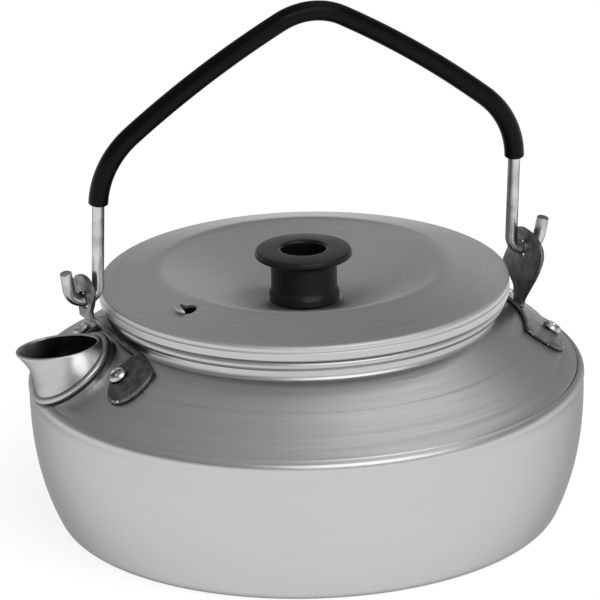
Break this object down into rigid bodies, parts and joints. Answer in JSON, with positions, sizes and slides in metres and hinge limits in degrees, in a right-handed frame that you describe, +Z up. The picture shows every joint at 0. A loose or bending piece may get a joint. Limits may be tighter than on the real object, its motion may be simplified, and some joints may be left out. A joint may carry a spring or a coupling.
{
  "type": "camping kettle",
  "caption": "Low round aluminium camping kettle with a short spout, a dished lift-off lid with a black knob, and a folding wire bail with a black sleeve.",
  "frame": {"origin": "centre of the flat base, on the surface that the kettle stands on", "axes": "+Z up; -X toward the spout, +X toward the rear ear; the bail's hinge line runs along X"},
  "size_m": [0.1554, 0.15, 0.148],
  "materials": {
    "spun_aluminium": "spun, with fine turning marks",
    "ear_steel": "pressed sheet, dull",
    "wire_steel": "drawn wire, satin",
    "rivet_aluminium": "peened",
    "fastener_steel": "plain",
    "black_plastic": "moulded, faint satin"
  },
  "bodies": {
    "kettle": {"kettle_body": "spun_aluminium", "spout": "spun_aluminium", "spout_ear": "ear_steel", "rear_ear": "ear_steel", "spout_ear_rivet_near": "rivet_aluminium", "spout_ear_rivet_far": "rivet_aluminium", "rear_ear_rivet_near": "rivet_aluminium", "rear_ear_rivet_far": "rivet_aluminium"},
    "bail": {"bail_wire": "wire_steel", "bail_sleeve": "black_plastic"},
    "lid": {"lid": "spun_aluminium", "lid_knob": "black_plastic", "knob_screw": "fastener_steel", "knob_washer": "fastener_steel", "knob_nut": "fastener_steel"}
  },
  "joints": [
    {"name": "bail_hinge", "type": "hinge", "parent": "kettle", "child": "bail", "pos_m": [0, 0, 0.06822], "axis": [1, 0, 0], "range_deg": [-113, 97]},
    {"name": "lid_lift", "type": "slide", "parent": "kettle", "child": "lid", "axis": [0, 0, 1], "range_m": [0, 0.025]}
  ]
}
